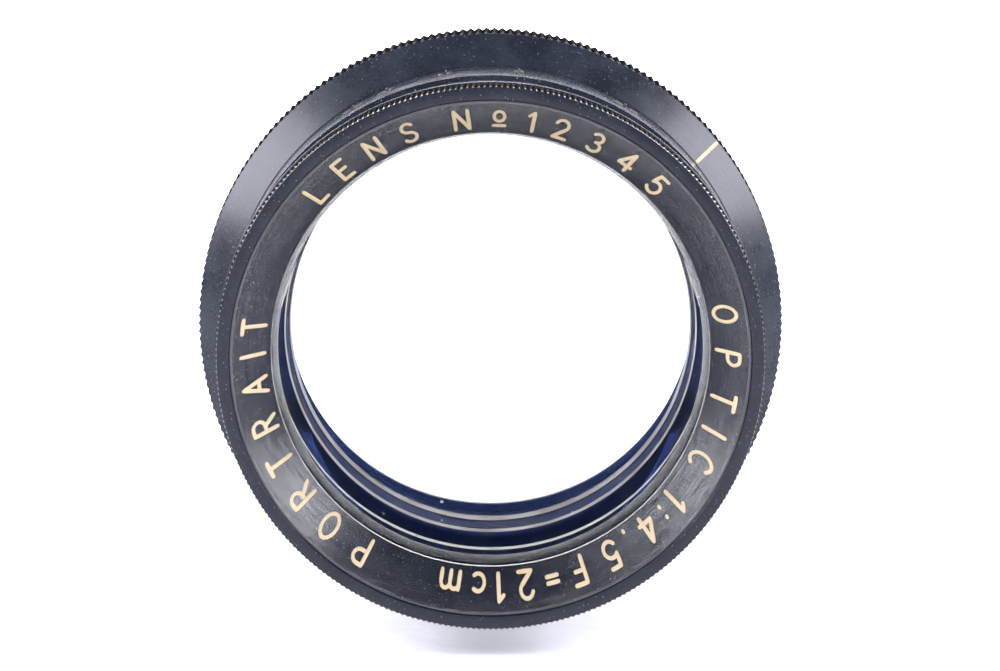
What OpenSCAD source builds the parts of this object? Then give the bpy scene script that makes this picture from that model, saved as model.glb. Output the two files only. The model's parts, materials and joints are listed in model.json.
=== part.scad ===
// Barrel-mounted portrait lens with a twelve-blade iris.
//
// Each piece is drawn on the bench: the optical axis is +Z and the front of the
// lens looks up. in_place() then lays the axis down, so that the front faces -Y.
// The origin is on the optical axis, in the plane of the mounting seat.

/* [Iris] */
// Largest opening of the iris, as a radius
iris_open_r = 22.5; // [18.5:0.1:27]
// Number of blades
blade_count = 12; // [10:1:14]
// Width of a blade
blade_w = 6; // [5.6:0.1:7.2]
// Thickness of a blade
blade_t = 0.06; // [0.05:0.01:0.07]
// Angle between the two pins of a blade, seen from the centre of its arc
blade_span = 146; // [142:1:148]
// How far a blade drops along the axis for each degree of its arc
blade_rise = 0.017; // [0.016:0.001:0.022]
// Turn of a blade for each degree that the aperture ring turns
blade_ratio = 0.5; // [0.48:0.01:0.5]
// Turn of the aperture ring from wide open to the smallest stop
ring_turn = 83; // [60:1:83]
// Radius of the pivot stud of a blade
stud_r = 0.5; // [0.4:0.05:0.6]
// Radius of the driving pin of a blade
pin_r = 0.4; // [0.3:0.05:0.45]
// Thickness of the plate that holds the pivot studs
stud_plate_t = 1; // [0.8:0.1:1.5]
// Height of the rotor
rotor_h = 3.15; // [2.9:0.05:4]
// Depth of the curved slots in the rotor
slot_depth = 0.95; // [0.8:0.05:1.1]
// Height of the threaded ring that closes the iris
iris_ring_h = 2; // [1.5:0.1:3]

/* [Glass] */
// Radius of the front element
front_glass_r = 26; // [21.5:0.1:28]
// Radius of curvature of its front surface
front_curve_r = 58; // [50:1:80]
// Thickness of the front element at its centre
front_glass_t = 8; // [7:0.1:10]
// Air gap between the front and second elements, at the centre
front_gap = 5; // [4:0.1:7]
// Radius of the second element
second_glass_r = 24; // [21:0.1:25]
// Radii of curvature of the second element, front and rear
second_front_curve_r = 125; // [100:1:160]
second_rear_curve_r = 55; // [50:1:80]
// Thickness of the second element at its centre
second_glass_t = 2.4; // [2:0.1:4]
// Radius of the rear doublet
rear_glass_r = 25.5; // [20:0.1:26.1]
// Radii of curvature of the doublet: front, cemented face, rear
rear_front_curve_r = 400; // [300:10:600]
cement_curve_r = 52; // [48:1:70]
rear_curve_r = 82; // [72:1:110]
// Thicknesses at the centre: negative element, positive element
rear_negative_t = 2.5; // [2:0.1:4]
rear_positive_t = 11.5; // [10.9:0.1:13]

/* [Barrel] */
// Wall of the barrel around the iris
chamber_wall = 1.25; // [1:0.05:2]
// Wall of the barrel around the front cell
front_wall = 1; // [0.8:0.1:2]
// Length of the band that carries the stop scale
scale_w = 10.6; // [8.5:0.1:13]
// Step of the scale band above the plain front part
scale_step = 0.5; // [0.3:0.1:1]
// Length of the plain part between the scale band and the bezel
front_plain = 9.6; // [7:0.1:12]
// Outer radius and length of the rear mounting thread
mount_thread_r = 29.6; // [29.2:0.1:36]
mount_thread_len = 9; // [7:0.5:12]
// Pitch and depth of the mounting thread
thread_pitch = 1; // [0.75:0.25:1.5]
thread_depth = 0.4; // [0.3:0.05:0.5]
// Outer radius and height of the collar with the mounting seat; its wall is kept
collar_r = 33.5; // [32:0.1:40]
collar_h = 3; // [2.8:0.1:5]
// Radius of the three grub screws in the collar
grub_r = 1; // [0.6:0.1:1.2]

/* [Aperture ring] */
// Radial thickness of the aperture ring
ring_thick = 4.3; // [3:0.1:6]
// Height of the aperture ring
ring_h = 9.4; // [9:0.1:13]
// Height and radial width of its conical face
cone_h = 2.55; // [1:0.05:4]
cone_w = 3.7; // [2:0.1:5.5]
// Number of teeth and depth of its knurling
ring_teeth = 230; // [120:2:260]
ring_knurl = 0.32; // [0.2:0.02:0.4]
// Place of the index line, in degrees above the horizontal, to the right
index_angle = 39; // [0:1:90]
// Width and depth of the index line and of the scale marks
mark_w = 0.45; // [0.2:0.05:0.8]
mark_depth = 0.15; // [0.1:0.05:0.3]

/* [Front cell] */
// How far the knurled rim stands out from the barrel
rim_proud = 0.7; // [0.5:0.1:3]
// Height of the knurled rim
rim_h = 4; // [3:0.1:6]
// Width of the flat face of the rim
rim_face_w = 1.6; // [1.2:0.1:3]
// Number of teeth and depth of the knurling on the rim
rim_teeth = 304; // [200:2:320]
rim_knurl = 0.2; // [0.1:0.02:0.3]
// Wall between the front element and the thread of the name ring
name_wall = 1.8; // [1.6:0.1:3]

/* [Rear cell] */
// Wall of the rear cell outside the doublet
rear_wall = 1.6; // [1:0.1:2.4]
// Length and outer radius of its knurled flange
rear_flange_h = 4.5; // [4.3:0.1:6]
rear_flange_r = 28.6; // [28:0.1:31]
// Number of teeth on the flange
rear_teeth = 200; // [120:2:240]

/* [Fits] */
// Radial clearance of the aperture ring and of the rotor on the barrel
running_fit = 0.05; // [0.03:0.01:0.08]
// Radial clearance between pieces that screw or slide together for good
thread_fit = 0.03; // [0.02:0.01:0.06]
// Radial clearance of a glass element in its cell
glass_fit = 0.05; // [0.03:0.01:0.1]
// Clearance between faces that seat on each other
seat_gap = 0.02; // [0.01:0.01:0.04]
// End play of the rotor, and of the stack of blades on each side
end_play = 0.1; // [0.08:0.01:0.15]

/* [Hidden] */
$fn = 180;

// Stops of the scale; the first one is the iris wide open
STOPS = [4.5, 5.6, 8, 11, 16, 22];

// Iris, from the inside out: the arc of a blade is centred on the axis when open
blade_in_r = iris_open_r + 0.1;
pivot_r = blade_in_r + blade_w / 2;
chamber_r = pivot_r + blade_w / 2 + 0.4;
blade_turn = ring_turn * blade_ratio;
blade_step = 360 / blade_count;
tail_r = 0.95;
taper_from = blade_span - 12;
head_angle = asin(blade_w / 2 / pivot_r);
tail_angle = asin(tail_r / pivot_r);

// Iris, from the rear to the front
shoulder_z = collar_h + 0.5;
rotor_z = shoulder_z + end_play;
rotor_top = rotor_z + rotor_h;
blade_drop = blade_rise * (blade_span + head_angle + tail_angle);
stud_plate_z = rotor_top + end_play + blade_drop + blade_t + end_play;
iris_ring_z = stud_plate_z + stud_plate_t;
iris_top = iris_ring_z + iris_ring_h;
pivot_z = stud_plate_z - end_play - blade_t / 2 - blade_rise * head_angle;
rotor_r = chamber_r - running_fit;
rotor_rim = 2;
drive_z = rotor_z + 1.1;
drive_tip_r = 0.8;
drive_thread_r = 1;

// Front cell, from the rear to the front
cell_z = iris_top + 0.4;
second_ring_h = 2;
second_flat = 1.5;
second_edge_z = cell_z + second_ring_h;
second_rear_z = second_edge_z + sag(second_rear_curve_r, second_glass_r - second_flat);
second_front_z = second_rear_z + second_glass_t;
second_seat_z = second_front_z + sag(second_front_curve_r, second_glass_r) + seat_gap;
front_rear_z = second_front_z + front_gap;
front_front_z = front_rear_z + front_glass_t;
lip_r = front_glass_r - 1;
lip_z = front_front_z - sag(front_curve_r, lip_r) + 2 * seat_gap;
cell_thread_z = lip_z - 6;

// Radii of the barrel
stud_plate_r = chamber_r + 0.3;
iris_bore_r = stud_plate_r + thread_fit;
name_thread_r = max(front_glass_r + name_wall, iris_bore_r - 1.6);
front_bore_r = max(iris_bore_r, name_thread_r + 2 * thread_fit + 1.4);
front_r = front_bore_r + front_wall;
journal_r = chamber_r + chamber_wall;
scale_r = max(journal_r, front_r) + scale_step;
rim_r = front_r + rim_proud;
name_flange_r = rim_r - rim_face_w;
ring_bore_r = journal_r + running_fit;
collar_bore_r = mount_thread_r + 0.4;
collar_out_r = max(collar_r, collar_bore_r + 3);
ring_r = ring_bore_r + ring_thick;
rear_cell_r = rear_glass_r + rear_wall;
rear_bore_r = rear_cell_r + thread_fit;

// Lengths of the barrel
ring_z = collar_h + 0.15;
ring_top = ring_z + ring_h;
scale_z = ring_top + 0.25;
plain_z = scale_z + scale_w;
barrel_top = plain_z + front_plain;
rim_top = barrel_top + rim_h;
name_flange_z = barrel_top + 0.4;

// Rear cell, from the front to the rear
rear_clear = 0.75;
rear_cell_top = shoulder_z - 1.1;
rear_lip_t = 0.95;
rear_edge_z = rear_cell_top - rear_lip_t - seat_gap;
rear_front_z = rear_edge_z - sag(rear_front_curve_r, rear_glass_r);
cement_z = rear_front_z - rear_negative_t;
rear_rear_z = cement_z - rear_positive_t;
rear_ring_top = rear_rear_z + sag(rear_curve_r, rear_glass_r - rear_clear) - seat_gap;
rear_ring_h = 2.2;

// ---- functions ----

// Depth of a spherical cap of radius of curvature curve at radius r
function sag(curve, r) = curve - sqrt(curve * curve - r * r);

function turn(p, a) = [p[0] * cos(a) - p[1] * sin(a), p[0] * sin(a) + p[1] * cos(a)];
function polar(r, a) = [r * cos(a), r * sin(a)];

// Centre of the driving pin of blade 1 when the blade has turned by b
function pin_at(b) =
    let (pivot = [pivot_r, 0])
    pivot + turn(polar(pivot_r, blade_span) - pivot, b);

// The same point, seen by the rotor
function slot_at(b) = turn(pin_at(b), -b / blade_ratio);

// Turn of a blade at which its driving pin is nearest to the optical axis
slot_turning = (180 - blade_span) / 2;

// Turn of the aperture ring that sets stop f
function stop_turn(f) =
    2 * asin((blade_in_r - iris_open_r * STOPS[0] / f) / (2 * pivot_r)) / blade_ratio;

// Half the width of a blade at angle a of its arc: a round head around the
// pivot stud, an even band, and a slim round tail around the driving pin
function blade_half(a) =
    a < 0 ? sqrt(max(0.05, pow(blade_w / 2, 2) - pow(pivot_r * sin(a), 2)))
    : a < taper_from ? blade_w / 2
    : a < blade_span
        ? tail_r + (blade_w / 2 - tail_r) * sqrt(1 - pow((a - taper_from) / (blade_span - taper_from), 2))
    : sqrt(max(0.02, tail_r * tail_r - pow(pivot_r * sin(a - blade_span), 2)));

// Height of the middle of a blade at angle a of its arc
function blade_z(a) = pivot_z - blade_rise * a;

// ---- shared shapes ----

module in_place() { rotate([90, 0, 0]) children(); }

module around(count, start = 0) {
    for (i = [0 : count - 1]) rotate([0, 0, start + i * 360 / count]) children();
}

// A turned piece from half of its section, given as [radius, height] points
module turned(points) { rotate_extrude() polygon(points); }

module ring(r_in, r_out, z0, z1) {
    turned([[r_in, z0], [r_out, z0], [r_out, z1], [r_in, z1]]);
}

// Straight knurling: a band of triangular teeth from bore r_in out to r
module knurled_band(r_in, r, depth, teeth, z0, z1) {
    translate([0, 0, z0]) linear_extrude(z1 - z0) difference() {
        polygon([for (i = [0 : 2 * teeth - 1]) polar(r - depth * (i % 2), i * 180 / teeth)]);
        circle(r_in);
    }
}

// Solid of glass between two planes or spheres. The front sphere bulges
// forwards when curve_front > 0, and the rear one backwards when curve_rear > 0
module glass(r, z_front, curve_front, z_rear, curve_rear, flat_r = 0) {
    front_edge = z_front - (curve_front == 0 ? 0 : sign(curve_front) * sag(abs(curve_front), r));
    rear_edge = z_rear + (curve_rear == 0 ? 0
        : sign(curve_rear) * sag(abs(curve_rear), flat_r > 0 ? flat_r : r));
    difference() {
        intersection() {
            translate([0, 0, min(z_rear, rear_edge)])
                cylinder(r = r, h = max(z_front, front_edge) - min(z_rear, rear_edge));
            if (curve_front > 0) translate([0, 0, z_front - curve_front]) sphere(curve_front);
            if (curve_rear > 0) translate([0, 0, z_rear + curve_rear]) sphere(curve_rear);
        }
        if (curve_front < 0) translate([0, 0, z_front - curve_front]) sphere(-curve_front);
        if (curve_rear < 0) translate([0, 0, z_rear + curve_rear]) sphere(-curve_rear);
    }
}

// ---- the body of the lens ----

// Ridges of the mounting thread, as rings of a plain section
module thread_grooves(r, z0, z1) {
    land = 0.45 * thread_pitch;
    for (z = [z0 + land : thread_pitch : z1 - thread_pitch + 0.01])
        turned([[r + 0.5, z - 0.2], [r + 0.5, z + thread_pitch - land + 0.2],
                [r, z + thread_pitch - land], [r - thread_depth, z + (thread_pitch - land) / 2],
                [r, z]]);
}

module barrel() {
    color("#1b2028") in_place() difference() {
        turned([
            [rear_bore_r, -mount_thread_len], [mount_thread_r, -mount_thread_len],
            [mount_thread_r, 0], [collar_bore_r - thread_fit, 0],
            [collar_bore_r - thread_fit, collar_h], [journal_r, collar_h], [journal_r, scale_z],
            [scale_r, scale_z], [scale_r, plain_z], [front_r, plain_z],
            [front_r, barrel_top], [front_bore_r, barrel_top],
            each front_bore_r > iris_bore_r
                ? [[front_bore_r, cell_thread_z - 1], [iris_bore_r, cell_thread_z - 1]] : [],
            [iris_bore_r, stud_plate_z], [chamber_r, stud_plate_z],
            [chamber_r, shoulder_z], [rear_bore_r, shoulder_z]
        ]);
        thread_grooves(mount_thread_r, -mount_thread_len, 0);
        drive_window();
        for (f = STOPS) rotate([0, 0, index_angle + stop_turn(f)])
            translate([scale_r, 0, scale_z + 1]) cube([2 * mark_depth, mark_w / 2, 2.02], center = true);
    }
}

// The slot that the drive screw travels in, through the wall of the barrel
module drive_window() {
    play = 0.15;
    end = asin((drive_tip_r + play) / chamber_r);
    rotate([0, 0, 270 - end]) rotate_extrude(angle = ring_turn + 2 * end)
        translate([chamber_r - 0.5, drive_z - drive_tip_r - play])
            square([chamber_wall + 1, 2 * (drive_tip_r + play)]);
}

module seat_collar() {
    color("#1b2028") in_place() difference() {
        turned([
            [collar_bore_r, 0], [collar_out_r - 0.4, 0], [collar_out_r, 0.4],
            [collar_out_r, collar_h - 0.4], [collar_out_r - 0.4, collar_h], [collar_bore_r, collar_h]
        ]);
        around(3, 30) translate([collar_bore_r - 1, 0, collar_h / 2]) rotate([0, 90, 0])
            cylinder(r = grub_r + thread_fit, h = collar_out_r - collar_bore_r + 2, $fn = 32);
    }
}

// Slotted screw whose axis is +Z, with its outer end at the top
module slotted_screw(r, length) {
    difference() {
        cylinder(r = r, h = length, $fn = 32);
        translate([0, 0, length]) cube([2 * r + 1, 0.3 * r, 0.6 * r], center = true);
    }
}

module collar_screws() {
    start = collar_bore_r + thread_fit;
    color("#3a352c") in_place() around(3, 30)
        translate([start, 0, collar_h / 2]) rotate([0, 90, 0])
            slotted_screw(grub_r, collar_out_r - 0.4 - start);
}

// ---- the front of the lens ----

module front_cell() {
    male_r = front_bore_r - thread_fit;
    tube_r = second_glass_r + glass_fit + 1.2;
    core_r = rim_r - rim_knurl - 0.05;
    bead_top = barrel_top + 0.4;
    color("#1b2028") in_place() union() {
        turned([
            [second_glass_r + glass_fit, cell_z], [tube_r + 1.2, cell_z], [tube_r + 1.2, cell_thread_z],
            [male_r, cell_thread_z], [male_r, barrel_top + seat_gap], [rim_r + 0.04, barrel_top + seat_gap],
            [rim_r + 0.04, bead_top], [core_r, bead_top], [core_r, rim_top - 0.1],
            [core_r - 0.1, rim_top], [name_flange_r, rim_top],
            [name_flange_r, name_flange_z], [name_thread_r + thread_fit, name_flange_z],
            [name_thread_r + thread_fit, lip_z], [front_glass_r + glass_fit, lip_z],
            [front_glass_r + glass_fit, front_rear_z - seat_gap],
            [front_glass_r - 1.3, front_rear_z - seat_gap],
            [second_glass_r - 0.6, second_seat_z + 1], [second_glass_r - 0.6, second_seat_z],
            [second_glass_r + glass_fit, second_seat_z]
        ]);
        knurled_band(core_r - 0.1, rim_r, rim_knurl, rim_teeth, bead_top + 0.1, rim_top - 0.2);
    }
}

module name_ring() {
    outer_r = name_flange_r - thread_fit;
    dish_top = rim_top - 0.5;
    lip_top = lip_z + 0.7;
    dish_r = outer_r - 0.35;
    // the dish is a little hollow: sink is how far it lies behind a plain cone
    sink = 0.35;
    dish = [for (k = [0 : 8]) let (u = k / 8)
        [dish_r + (lip_r - dish_r) * u, dish_top + (lip_top - dish_top) * u - 4 * sink * u * (1 - u)]];
    color("#14181f") in_place() turned(concat(
        [[outer_r, name_flange_z + seat_gap], [outer_r, rim_top - 0.3], [dish_r, rim_top - 0.3]],
        dish,
        [[lip_r, lip_z], [name_thread_r, lip_z + seat_gap], [name_thread_r, name_flange_z + seat_gap]]));
}

module front_element() {
    color("#b9d3ef", 0.5) in_place()
        glass(front_glass_r, front_front_z, front_curve_r, front_rear_z, 0);
}

module second_element() {
    color("#b9d3ef", 0.5) in_place()
        glass(second_glass_r, second_front_z, -second_front_curve_r, second_rear_z,
              -second_rear_curve_r, second_glass_r - second_flat);
}

// Threaded ring with two slots for a spanner
module spanner_ring(r_in, r_out, z0, z1) {
    difference() {
        ring(r_in, r_out, z0, z1);
        translate([0, 0, z0]) cube([2 * r_out + 1, 1.6, 1.4], center = true);
    }
}

module second_element_ring() {
    color("#20242c") in_place()
        spanner_ring(second_glass_r - 1.1, second_glass_r + glass_fit - thread_fit,
                     cell_z, second_edge_z - seat_gap);
}

// ---- the aperture ring and the iris ----

module aperture_ring() {
    root_r = ring_r - ring_knurl - 0.3;
    cone_z = ring_top - cone_h;
    face_r = ring_r - cone_w;
    color("#1b2028") in_place() difference() {
        union() {
            turned([
                [ring_bore_r, ring_z], [ring_r - 0.9, ring_z], [root_r, ring_z + 0.6],
                [root_r, cone_z], [ring_r - 0.25, cone_z], [face_r, ring_top],
                [ring_bore_r, ring_top]
            ]);
            knurled_band(root_r - 0.1, ring_r, ring_knurl, ring_teeth, ring_z + 0.5, cone_z - 0.15);
            turned([[root_r - 0.1, cone_z - 0.15], [ring_r - 0.1, cone_z - 0.15],
                    [ring_r - 0.25, cone_z], [root_r - 0.1, cone_z]]);
        }
        rotate([0, 0, 270]) translate([ring_bore_r - 1, 0, drive_z]) rotate([0, 90, 0])
            cylinder(r = drive_thread_r + thread_fit, h = ring_thick + 2, $fn = 32);
        index_line(face_r, ring_r, ring_top, cone_z);
    }
}

// Engraved line down the conical face, from its inner edge to its outer edge
module index_line(r0, r1, z0, z1) {
    length = norm([r1 - r0, z0 - z1]);
    rotate([0, 0, index_angle]) translate([(r0 + r1) / 2, 0, (z0 + z1) / 2])
        rotate([0, atan2(z0 - z1, r1 - r0), 0])
            cube([length + 0.6, mark_w, 2 * mark_depth], center = true);
}

module drive_screw() {
    tip_z = rotor_r - 1.6;
    shank_z = ring_bore_r + 0.05;
    color("#3a352c") in_place() rotate([0, 0, 270]) translate([0, 0, drive_z]) rotate([0, 90, 0])
        union() {
            translate([0, 0, tip_z]) cylinder(r = drive_tip_r, h = shank_z - tip_z + 0.5, $fn = 32);
            translate([0, 0, shank_z]) slotted_screw(drive_thread_r, ring_r - 1.1 - shank_z);
        }
}

// Outline of one pass of a slot in the rotor, for blade turns between from and
// to. The pin first runs inwards and then back outwards along nearly the same
// line, so a slot is two passes that overlap
module slot_outline(from, to) {
    w = pin_r + running_fit;
    steps = 6;
    mid = [for (k = [0 : steps]) slot_at(from + (to - from) * k / steps)];
    dir = [for (k = [0 : steps])
        let (d = mid[min(k + 1, steps)] - mid[max(k - 1, 0)]) atan2(d[1], d[0])];
    left = [for (k = [0 : steps]) mid[k] + polar(w, dir[k] + 90)];
    right = [for (k = [steps : -1 : 0]) mid[k] + polar(w, dir[k] - 90)];
    far_end = [for (a = [60 : -30 : -60]) mid[steps] + polar(w, dir[steps] + a)];
    near_end = [for (a = [-120 : -30 : -240]) mid[0] + polar(w, dir[0] + a)];
    polygon(concat(left, far_end, right, near_end));
}

module iris_rotor() {
    web = 1.5;
    plate_z = rotor_top - web;
    color("#4b4a46") in_place() difference() {
        turned([
            [rotor_r - rotor_rim, rotor_z], [rotor_r, rotor_z], [rotor_r, rotor_top],
            [iris_open_r, rotor_top], [iris_open_r, plate_z], [rotor_r - rotor_rim, plate_z]
        ]);
        for (pass = [[-0.5, slot_turning], [slot_turning, blade_turn + 0.5]])
            around(blade_count) translate([0, 0, rotor_top - slot_depth])
                linear_extrude(slot_depth + 1) slot_outline(pass[0], pass[1]);
        rotate([0, 0, 270]) translate([rotor_r - 1.7, 0, drive_z]) rotate([0, 90, 0])
            cylinder(r = drive_tip_r + thread_fit, h = 3, $fn = 32);
    }
}

module iris_stud_plate() {
    color("#4b4a46") in_place() difference() {
        ring(iris_open_r, stud_plate_r, stud_plate_z + seat_gap, iris_ring_z);
        around(blade_count) translate([pivot_r, 0, stud_plate_z - 1])
            cylinder(r = stud_r + running_fit, h = stud_plate_t + 2, $fn = 32);
    }
}

module iris_ring() {
    color("#20242c") in_place() difference() {
        ring(chamber_r - 2.5, stud_plate_r, iris_ring_z + seat_gap, iris_top);
        translate([0, 0, iris_top]) cube([2 * stud_plate_r + 1, 1.6, 1.4], center = true);
    }
}

// One blade lies on a shallow helix, so that each blade overlaps the next one
// all the way round. Its sections are closer together where its width changes
module iris_blade(i) {
    head = [for (k = [0 : 4]) -head_angle * (1 - k / 4) * 0.995];
    band = [for (k = [1 : 19]) taper_from * k / 19];
    tail = [for (k = [1 : 6]) taper_from + (blade_span - taper_from) * sin(15 * k)];
    end = [for (k = [1 : 3]) blade_span + tail_angle * sin(30 * k) * 0.98];
    angles = concat(head, band, tail, end);
    n = len(angles);
    points = [for (a = angles, side = [-1, 1], up = [-1, 1])
        let (p = polar(pivot_r + side * blade_half(a), a)) [p[0], p[1], blade_z(a) + up * blade_t / 2]];
    // corners of section k: 0 inner rear, 1 inner front, 2 outer rear, 3 outer front
    walls = [for (k = [0 : n - 2], w = [[0, 2, 4, 6], [1, 5, 3, 7], [0, 4, 1, 5], [2, 3, 6, 7]])
        each [[4 * k + w[0], 4 * k + w[1], 4 * k + w[2]], [4 * k + w[1], 4 * k + w[3], 4 * k + w[2]]]];
    last = 4 * (n - 1);
    caps = [[0, 1, 2], [1, 3, 2], [last, last + 2, last + 1], [last + 1, last + 2, last + 3]];
    color("#5a5752") in_place() rotate([0, 0, (i - 1) * blade_step])
        polyhedron(points = points, faces = concat(walls, caps));
}

// The two pins riveted into blade i: the pivot stud looks forwards into the
// stud plate and the driving pin looks backwards into the rotor
module iris_blade_pins(i) {
    pin = pin_at(0);
    pin_z = rotor_top - slot_depth + 0.1;
    color("#8a7a55") in_place() rotate([0, 0, (i - 1) * blade_step]) {
        translate([pivot_r, 0, blade_z(0) - blade_t / 2])
            cylinder(r = stud_r, h = iris_ring_z - 0.1 - blade_z(0) + blade_t / 2, $fn = 24);
        translate([pin[0], pin[1], pin_z])
            cylinder(r = pin_r, h = blade_z(blade_span) + blade_t / 2 - pin_z, $fn = 24);
    }
}

// ---- the rear of the lens ----

module rear_cell() {
    flange_z = -mount_thread_len - seat_gap;
    end_z = flange_z - rear_flange_h;
    bore_r = rear_glass_r + glass_fit;
    color("#1b2028") in_place() union() {
        turned([
            [rear_glass_r - rear_clear, rear_cell_top], [rear_cell_r, rear_cell_top],
            [rear_cell_r, flange_z], [rear_flange_r - 0.5, flange_z],
            [rear_flange_r - 0.5, end_z + 0.4], [rear_flange_r - 0.9, end_z],
            [bore_r + 0.9, end_z], [bore_r, end_z + 1.5], [bore_r, rear_edge_z + seat_gap],
            [rear_glass_r - rear_clear, rear_edge_z + seat_gap]
        ]);
        knurled_band(rear_flange_r - 0.6, rear_flange_r, 0.25, rear_teeth, end_z + 0.7, flange_z - 0.3);
    }
}

module rear_negative_element() {
    color("#b9d3ef", 0.5) in_place()
        glass(rear_glass_r, rear_front_z, -rear_front_curve_r, cement_z, -cement_curve_r);
}

module rear_positive_element() {
    color("#b9d3ef", 0.5) in_place()
        glass(rear_glass_r, cement_z - seat_gap, cement_curve_r, rear_rear_z, rear_curve_r);
}

module rear_element_ring() {
    color("#20242c") in_place()
        spanner_ring(rear_glass_r - rear_clear, rear_glass_r + glass_fit - thread_fit,
                     rear_ring_top - rear_ring_h, rear_ring_top);
}

// ---- what is shown ----

barrel();
front_cell();
name_ring();
front_element();
second_element();
second_element_ring();
seat_collar();
collar_screws();
aperture_ring();
drive_screw();
iris_rotor();
iris_stud_plate();
iris_ring();
rear_cell();
rear_negative_element();
rear_positive_element();
rear_element_ring();
for (i = [1 : blade_count]) {
    iris_blade(i);
    iris_blade_pins(i);
}
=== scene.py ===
"""The looks of a black-lacquered portrait lens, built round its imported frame.

The optical axis lies along Y and the front of the lens looks towards -Y. A
turned piece starts as half of its section, given as (radius, height) points,
where height is measured along the axis towards the front of the lens.
"""

import functools
import json
import math

import bmesh
import bpy
from bpy.props import FloatProperty, FloatVectorProperty, IntProperty, PointerProperty
from mathutils import Matrix, Vector


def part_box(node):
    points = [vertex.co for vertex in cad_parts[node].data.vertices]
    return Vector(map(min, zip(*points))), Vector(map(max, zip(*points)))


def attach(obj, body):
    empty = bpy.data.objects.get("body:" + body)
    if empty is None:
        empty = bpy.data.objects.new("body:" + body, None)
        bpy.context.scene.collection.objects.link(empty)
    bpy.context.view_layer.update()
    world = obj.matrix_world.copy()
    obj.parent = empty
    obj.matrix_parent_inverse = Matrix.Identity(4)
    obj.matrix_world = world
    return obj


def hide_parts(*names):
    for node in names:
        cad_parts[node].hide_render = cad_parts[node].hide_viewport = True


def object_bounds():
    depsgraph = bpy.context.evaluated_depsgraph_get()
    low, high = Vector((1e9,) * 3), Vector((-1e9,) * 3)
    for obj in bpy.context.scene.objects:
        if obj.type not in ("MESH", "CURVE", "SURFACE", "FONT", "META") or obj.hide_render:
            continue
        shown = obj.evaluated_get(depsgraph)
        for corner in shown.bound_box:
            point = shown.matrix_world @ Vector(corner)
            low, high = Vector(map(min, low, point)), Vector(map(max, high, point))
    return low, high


bl_info = {
    "name": "Barrel portrait lens",
    "version": (1, 0, 0),
    "blender": (4, 5, 0),
    "location": "3D View > Sidebar > Lens",
    "description": "Turned pieces, glasses, engraving and finishes of a barrel-mounted portrait lens",
    "category": "Add Mesh",
}

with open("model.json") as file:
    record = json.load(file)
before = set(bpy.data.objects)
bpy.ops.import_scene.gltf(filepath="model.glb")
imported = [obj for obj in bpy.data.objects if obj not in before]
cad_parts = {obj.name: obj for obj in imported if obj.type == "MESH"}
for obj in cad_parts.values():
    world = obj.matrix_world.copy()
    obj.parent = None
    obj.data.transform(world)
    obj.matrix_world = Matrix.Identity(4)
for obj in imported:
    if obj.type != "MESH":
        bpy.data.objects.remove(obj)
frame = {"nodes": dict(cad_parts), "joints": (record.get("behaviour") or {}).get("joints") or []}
CAD_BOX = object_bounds()

MM = 0.001
BARREL = "lens_barrel"
RING = "aperture_ring"
FINE_TURN = 192

THREAD_FIT = 0.03 * MM
GLASS_FIT = 0.05 * MM
SEAT_GAP = 0.02 * MM
# thickness of the inner edge of the name ring, where it holds the front glass
HOLDING_EDGE = 0.7 * MM
# from that edge back to the foot of the front cell's thread in the barrel
THREAD_FOOT_DROP = 6 * MM


# ---- sizes taken from the frame ----


@functools.cache
def box(node):
    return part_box(node)


def reach(node):
    """The outer radius of a turned node."""
    return box(node)[1].x


def front_of(node):
    """The height of a node's front end along the axis."""
    return -box(node)[0].y


def back_of(node):
    """The height of a node's rear end along the axis."""
    return -box(node)[1].y


def sag(curve, radius):
    """How deep a sphere of radius curve is at that radius."""
    return curve - math.sqrt(curve * curve - radius * radius)


# ---- sizes and colours that a user would change ----


def length(name, description, default):
    return FloatProperty(
        name=name, description=description, default=default, subtype="DISTANCE", unit="LENGTH", precision=5
    )


def angle(name, description, degrees):
    return FloatProperty(
        name=name, description=description, default=math.radians(degrees), subtype="ANGLE", unit="ROTATION"
    )


def colour(name, description, rgb):
    return FloatVectorProperty(
        name=name, description=description, default=rgb, subtype="COLOR", size=3, min=0, max=1
    )


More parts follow.
